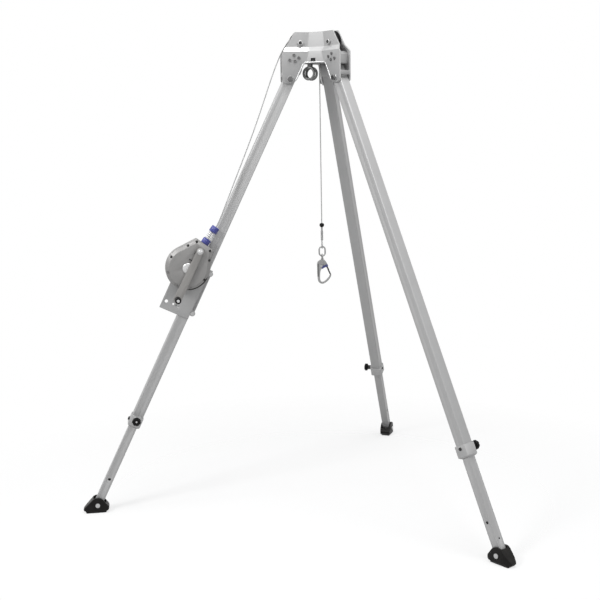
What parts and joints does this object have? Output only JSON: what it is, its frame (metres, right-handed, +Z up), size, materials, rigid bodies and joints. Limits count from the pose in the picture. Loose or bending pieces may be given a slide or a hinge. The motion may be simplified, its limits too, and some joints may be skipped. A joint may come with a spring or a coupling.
{
  "type": "rescue tripod",
  "caption": "Folding rescue tripod with telescoping square legs, a bent-plate head with rope sheaves, a geared crank winch on one leg and a snap hook on the line.",
  "frame": {"origin": "on the floor, under the head's axis, in the middle of the stance", "axes": "+Z up; -X towards the foot of the leg that carries the winch; +Y away from the winch's front"},
  "size_m": [1.7339, 2.0022, 2.1756],
  "materials": {
    "plate_aluminium": "satin sheet",
    "tube_aluminium": "satin anodised",
    "cast_aluminium": "fine blasted",
    "housing_metal": "satin grey",
    "steel": "bright",
    "polished": "polished",
    "dark_steel": "black oxide",
    "rope_wire": "laid wire",
    "black_plastic": "moulded",
    "black_rubber": "moulded",
    "blue_plastic": "moulded",
    "blue_metal": "anodised"
  },
  "bodies": {
    "head": {"head_plate_front": "plate_aluminium", "head_plate_right": "plate_aluminium", "head_plate_rear": "plate_aluminium", "leg_stop_blocks": "cast_aluminium", "block_bolts": "steel", "tie_bars": "plate_aluminium", "leg_pivot_bolts": "steel", "sheave_axle_bolts": "steel", "sheave_cheeks": "plate_aluminium", "drop_sheave_axle": "steel", "anchor_plate": "plate_aluminium", "anchor_eyes": "steel", "rope_over": "rope_wire"},
    "leg_winch": {"outer_tube_winch": "tube_aluminium", "leg_fittings_winch": "cast_aluminium", "winch_bracket": "cast_aluminium", "bracket_pins": "steel", "housing_back": "housing_metal", "housing_cover": "housing_metal", "housing_screws": "dark_steel", "centre_cap": "polished", "outlet_guide": "blue_plastic", "buffer_spring": "steel", "rope_run": "rope_wire"},
    "leg_right": {"outer_tube_right": "tube_aluminium", "leg_fittings_right": "cast_aluminium"},
    "leg_back": {"outer_tube_back": "tube_aluminium", "leg_fittings_back": "cast_aluminium"},
    "lower_winch": {"inner_tube_winch": "tube_aluminium"},
    "knob_winch": {"lock_knob_winch": "black_plastic"},
    "shoe_winch": {"foot_winch": "black_rubber", "foot_bolt_winch": "steel"},
    "pulley_winch": {"sheave_winch": "black_plastic"},
    "lower_right": {"inner_tube_right": "tube_aluminium"},
    "knob_right": {"lock_knob_right": "black_plastic"},
    "shoe_right": {"foot_right": "black_rubber", "foot_bolt_right": "steel"},
    "pulley_right": {"sheave_right": "black_plastic"},
    "lower_back": {"inner_tube_back": "tube_aluminium"},
    "knob_back": {"lock_knob_back": "black_plastic"},
    "shoe_back": {"foot_back": "black_rubber", "foot_bolt_back": "steel"},
    "pulley_back": {"sheave_back": "black_plastic"},
    "drop_pulley": {"drop_sheave": "black_plastic"},
    "drum": {"rope_drum": "cast_aluminium", "drum_gear": "steel", "rope_winding": "rope_wire"},
    "crank": {"crank_shaft": "steel", "crank_arm": "steel"},
    "grip": {"crank_grip": "black_plastic"},
    "buffer": {"buffer_cap": "blue_plastic"},
    "line_end": {"rope_drop": "rope_wire", "stopper_ball": "black_plastic", "rope_termination": "steel"},
    "chain_link": {"link": "steel"},
    "swivel": {"hook_eye": "steel"},
    "hook": {"hook_body": "steel"},
    "gate": {"hook_gate": "dark_steel", "hook_lever": "blue_metal"}
  },
  "joints": [
    {"name": "fold_winch", "type": "hinge", "parent": "head", "child": "leg_winch", "pos_m": [-0.14, 0, 1.96861], "axis": [0, -1, 0], "range_deg": [0, 26], "deforming": ["rope_run"]},
    {"name": "fold_right", "type": "hinge", "parent": "head", "child": "leg_right", "pos_m": [0.07, -0.12124, 1.96861], "axis": [0.866, 0.5, 0], "range_deg": [0, 26]},
    {"name": "fold_back", "type": "hinge", "parent": "head", "child": "leg_back", "pos_m": [0.07, 0.12124, 1.96861], "axis": [-0.866, 0.5, 0], "range_deg": [0, 26]},
    {"name": "extend_winch", "type": "slide", "parent": "leg_winch", "child": "lower_winch", "axis": [-0.4384, 0, -0.8988], "range_m": [-0.31, 0.31]},
    {"name": "extend_right", "type": "slide", "parent": "leg_right", "child": "lower_right", "axis": [0.2192, -0.3796, -0.8988], "range_m": [-0.31, 0.31]},
    {"name": "extend_back", "type": "slide", "parent": "leg_back", "child": "lower_back", "axis": [0.2192, 0.3796, -0.8988], "range_m": [-0.31, 0.31]},
    {"name": "tilt_winch", "type": "hinge", "parent": "lower_winch", "child": "shoe_winch", "pos_m": [-1.08162, 0, 0.038], "axis": [0, -1, 0], "range_deg": [-20, 20]},
    {"name": "tilt_right", "type": "hinge", "parent": "lower_right", "child": "shoe_right", "pos_m": [0.54081, -0.93671, 0.038], "axis": [0.866, 0.5, 0], "range_deg": [-20, 20]},
    {"name": "tilt_back", "type": "hinge", "parent": "lower_back", "child": "shoe_back", "pos_m": [0.54081, 0.93671, 0.038], "axis": [-0.866, 0.5, 0], "range_deg": [-20, 20]},
    {"name": "pull_winch", "type": "slide", "parent": "leg_winch", "child": "knob_winch", "axis": [0, -1, 0], "range_m": [0, 0.01], "stiffness_N_per_m": 600},
    {"name": "pull_right", "type": "slide", "parent": "leg_right", "child": "knob_right", "axis": [0.866, 0.5, 0], "range_m": [0, 0.01], "stiffness_N_per_m": 600},
    {"name": "pull_back", "type": "slide", "parent": "leg_back", "child": "knob_back", "axis": [-0.866, 0.5, 0], "range_m": [0, 0.01], "stiffness_N_per_m": 600},
    {"name": "spin_right", "type": "hinge", "parent": "head", "child": "pulley_right", "pos_m": [0.04521, -0.0783, 2.12763], "axis": [0.866, 0.5, 0], "continuous": true},
    {"name": "spin_back", "type": "hinge", "parent": "head", "child": "pulley_back", "pos_m": [0.04521, 0.0783, 2.12763], "axis": [-0.866, 0.5, 0], "continuous": true},
    {"name": "drum_turn", "type": "hinge", "parent": "leg_winch", "child": "drum", "pos_m": [-0.63002, -0.054, 1.13729], "axis": [0, -1, 0], "range_deg": [-660, 396]},
    {"name": "crank_turn", "type": "hinge", "parent": "leg_winch", "child": "crank", "pos_m": [-0.5736, -0.054, 1.21216], "axis": [0, -1, 0], "range_deg": [-1900, 3160]},
    {"name": "grip_spin", "type": "hinge", "parent": "crank", "child": "grip", "pos_m": [-0.68109, -0.13, 1.0009], "axis": [0, -1, 0], "continuous": true},
    {"name": "spin_winch", "type": "hinge", "parent": "head", "child": "pulley_winch", "pos_m": [-0.09041, 0, 2.12763], "axis": [0, -1, 0], "range_deg": [-960, 580]},
    {"name": "spin_drop", "type": "hinge", "parent": "head", "child": "drop_pulley", "pos_m": [-0.019, 0, 2.15362], "axis": [0, -1, 0], "range_deg": [-2260, 1360]},
    {"name": "line_travel", "type": "slide", "parent": "head", "child": "line_end", "axis": [0, 0, 1], "range_m": [-0.75, 0.45], "deforming": ["rope_drop"]},
    {"name": "link_swing", "type": "hinge", "parent": "line_end", "child": "chain_link", "pos_m": [0, 0, 1.1986], "axis": [0, 1, 0], "range_deg": [-30, 30]},
    {"name": "eye_swing", "type": "hinge", "parent": "chain_link", "child": "swivel", "pos_m": [0, 0, 1.1625], "axis": [1, 0, 0], "range_deg": [-30, 30]},
    {"name": "hook_swivel", "type": "hinge", "parent": "swivel", "child": "hook", "pos_m": [0, 0, 1.1325], "axis": [0, 0, 1], "continuous": true},
    {"name": "gate_open", "type": "hinge", "parent": "hook", "child": "gate", "pos_m": [0.019, 0, 1.1175], "axis": [0, 1, 0], "range_deg": [0, 22], "stiffness_Nm_per_rad": 0.05, "springref_deg": -17.19},
    {"name": "buffer_press", "type": "slide", "parent": "leg_winch", "child": "buffer", "axis": [0.6018, 0, 0.7986], "range_m": [-0.02, 0], "stiffness_N_per_m": 900, "deforming": ["buffer_spring"]}
  ],
  "couplings": [
    {"joint": "crank_turn", "follows": "drum_turn", "ratio": -4.7692},
    {"joint": "spin_winch", "follows": "drum_turn", "ratio": 1.4333},
    {"joint": "spin_drop", "follows": "drum_turn", "ratio": 3.3947},
    {"joint": "line_travel", "follows": "drum_turn", "m_per_rad": 0.0645}
  ]
}
